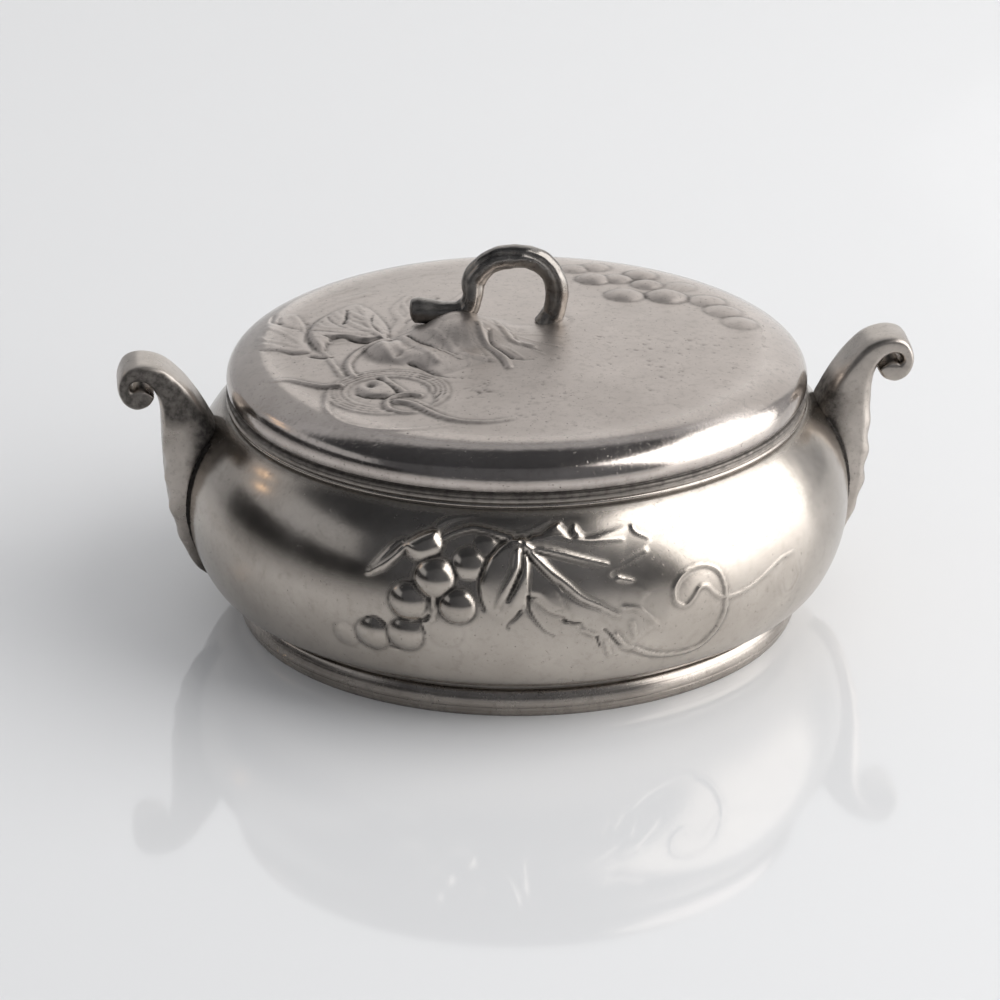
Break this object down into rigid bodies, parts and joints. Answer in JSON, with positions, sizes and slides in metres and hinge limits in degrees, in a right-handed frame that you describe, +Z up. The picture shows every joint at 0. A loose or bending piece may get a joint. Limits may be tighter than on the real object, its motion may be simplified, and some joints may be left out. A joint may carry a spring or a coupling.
{
  "type": "covered sugar bowl",
  "caption": "Round lidded pewter sugar bowl with vine relief, upright scroll handles and a lift-off lid with a twig-shaped finger loop.",
  "frame": {"origin": "on the table under the middle of the foot", "axes": "+Z up, +X through the two handles, -Y towards the front relief"},
  "size_m": [0.1724, 0.1452, 0.0805],
  "materials": {
    "cast_pewter": "cast, buffed and worn pewter with dark patina in the relief",
    "turned_pewter": "lathe-turned pewter with fine turned lines",
    "handle_pewter": "cast pewter, soft satin with dark hollows",
    "lid_pewter": "cast pewter, satin with fine specks",
    "twig_pewter": "cast pewter with dark grooved bark"
  },
  "bodies": {
    "bowl": {"bowl_body": "cast_pewter", "neck_ring": "turned_pewter", "foot_ring": "turned_pewter", "base_plate": "turned_pewter", "handle_left": "handle_pewter", "handle_right": "handle_pewter"},
    "lid": {"lid_shell": "lid_pewter", "lid_flange": "turned_pewter", "lid_loop": "twig_pewter"}
  },
  "joints": [
    {"name": "lid_lift", "type": "slide", "parent": "bowl", "child": "lid", "axis": [0, 0, 1], "range_m": [0, 0.06]}
  ]
}
